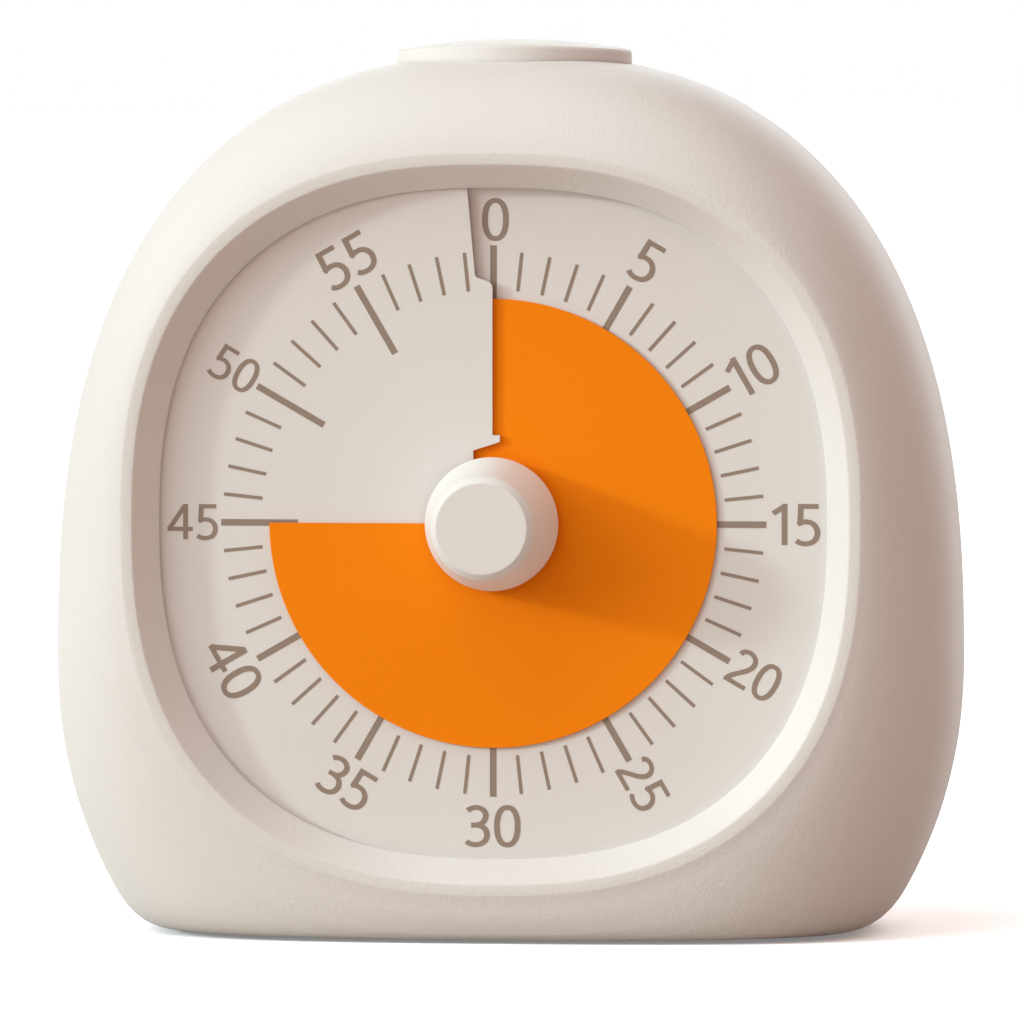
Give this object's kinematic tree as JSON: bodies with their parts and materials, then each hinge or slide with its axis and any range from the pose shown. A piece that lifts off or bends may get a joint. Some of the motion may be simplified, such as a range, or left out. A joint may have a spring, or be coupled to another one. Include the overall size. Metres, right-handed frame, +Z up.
{
  "type": "visual countdown timer",
  "caption": "Domed desk timer with a turning coloured disc that shows the minutes left, a centre setting knob and a push button on top.",
  "frame": {"origin": "centre of the base pad's underside, on the surface that the timer stands on", "axes": "+X to the viewer's right when facing the dial, +Y from the dial to the back, +Z up"},
  "size_m": [0.0948, 0.0561, 0.0938],
  "materials": {
    "shell": "very fine matte texture",
    "button": "fine matte texture",
    "knob": "fine matte texture",
    "pad": "matte",
    "dial": "matte, printed with ticks and numerals",
    "disc": "smooth matte",
    "chassis": "plain moulded",
    "movement": "plain moulded",
    "gear": "natural acetal",
    "steel": "bright",
    "brass": "turned",
    "copper": "lacquered copper winding",
    "board": "glass-fibre board with green mask",
    "battery": "printed sleeve, plain"
  },
  "bodies": {
    "case": {"front_shell": "shell", "rear_cover": "shell", "base_pad": "pad", "dial_plate": "dial", "spindle_bush": "brass", "chassis_plate": "chassis", "movement_base": "movement", "movement_cover": "movement", "stator": "steel", "coil": "copper", "chassis_screw_1": "steel", "chassis_screw_2": "steel", "chassis_screw_3": "steel", "chassis_screw_4": "steel", "movement_screw_1": "steel", "movement_screw_2": "steel", "circuit_board": "board", "control_chip": "movement", "quartz_crystal": "steel", "buzzer": "movement", "sound_switch_case": "movement", "battery": "battery", "battery_contact": "steel", "battery_spring": "steel", "button_bracket": "chassis", "switch_board": "board", "press_switch": "movement", "button_spring": "steel", "bracket_screw_1": "steel", "bracket_screw_2": "steel", "case_screw_1": "steel", "case_screw_2": "steel", "case_screw_3": "steel", "case_screw_4": "steel"},
    "door": {"battery_door": "shell"},
    "disc": {"time_disc": "disc"},
    "setting": {"knob": "knob", "spindle": "steel", "minute_wheel": "gear", "clutch_spring": "brass"},
    "idler": {"idler_wheel": "gear"},
    "rotor": {"rotor": "steel"},
    "slider": {"sound_slider": "chassis"},
    "button": {"top_button": "button"}
  },
  "joints": [
    {"name": "set_time", "type": "hinge", "parent": "case", "child": "setting", "pos_m": [0, -0.01965, 0.04365], "axis": [0, 1, 0], "range_deg": [-270, 90]},
    {"name": "disc_travel", "type": "slide", "parent": "setting", "child": "disc", "axis": [0, -1, 0], "range_m": [-0.000725, 0.00025]},
    {"name": "idler_turn", "type": "hinge", "parent": "case", "child": "idler", "pos_m": [0.0063, -0.0095, 0.03614], "axis": [0, 1, 0], "continuous": true},
    {"name": "rotor_turn", "type": "hinge", "parent": "case", "child": "rotor", "pos_m": [0.00055, -0.0095, 0.03181], "axis": [0, 1, 0], "continuous": true},
    {"name": "press_button", "type": "slide", "parent": "case", "child": "button", "axis": [0, 0, -1], "range_m": [0, 0.0012], "stiffness_N_per_m": 900, "deforming": ["button_spring"]},
    {"name": "open_battery_door", "type": "slide", "parent": "case", "child": "door", "axis": [0, 1, 0], "range_m": [0, 0.03]},
    {"name": "sound_switch", "type": "slide", "parent": "case", "child": "slider", "axis": [1, 0, 0], "range_m": [0, 0.004]}
  ],
  "couplings": [
    {"joint": "disc_travel", "follows": "set_time", "m_per_rad": 0.0001512},
    {"joint": "idler_turn", "follows": "set_time", "ratio": -6},
    {"joint": "rotor_turn", "follows": "set_time", "ratio": 30}
  ]
}
